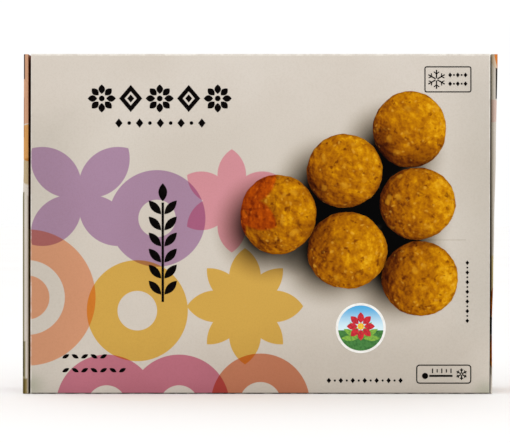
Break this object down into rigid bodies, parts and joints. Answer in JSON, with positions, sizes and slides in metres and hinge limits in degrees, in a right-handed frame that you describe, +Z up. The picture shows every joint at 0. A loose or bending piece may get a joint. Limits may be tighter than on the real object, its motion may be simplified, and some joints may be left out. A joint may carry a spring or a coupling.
{
  "type": "frozen sweets carton",
  "caption": "Shut paperboard tuck-end carton for frozen sweets, standing on its long side, with end flaps sprung slightly proud and a printed front panel.",
  "frame": {"origin": "middle of the base, on the surface that the carton stands on", "axes": "+X to the right across the front panel, -Y out of the front panel, +Z up"},
  "size_m": [0.2166, 0.0466, 0.155],
  "materials": {
    "printed_board": "satin varnish over print"
  },
  "bodies": {
    "root": {"carton": "printed_board"}
  },
  "joints": []
}
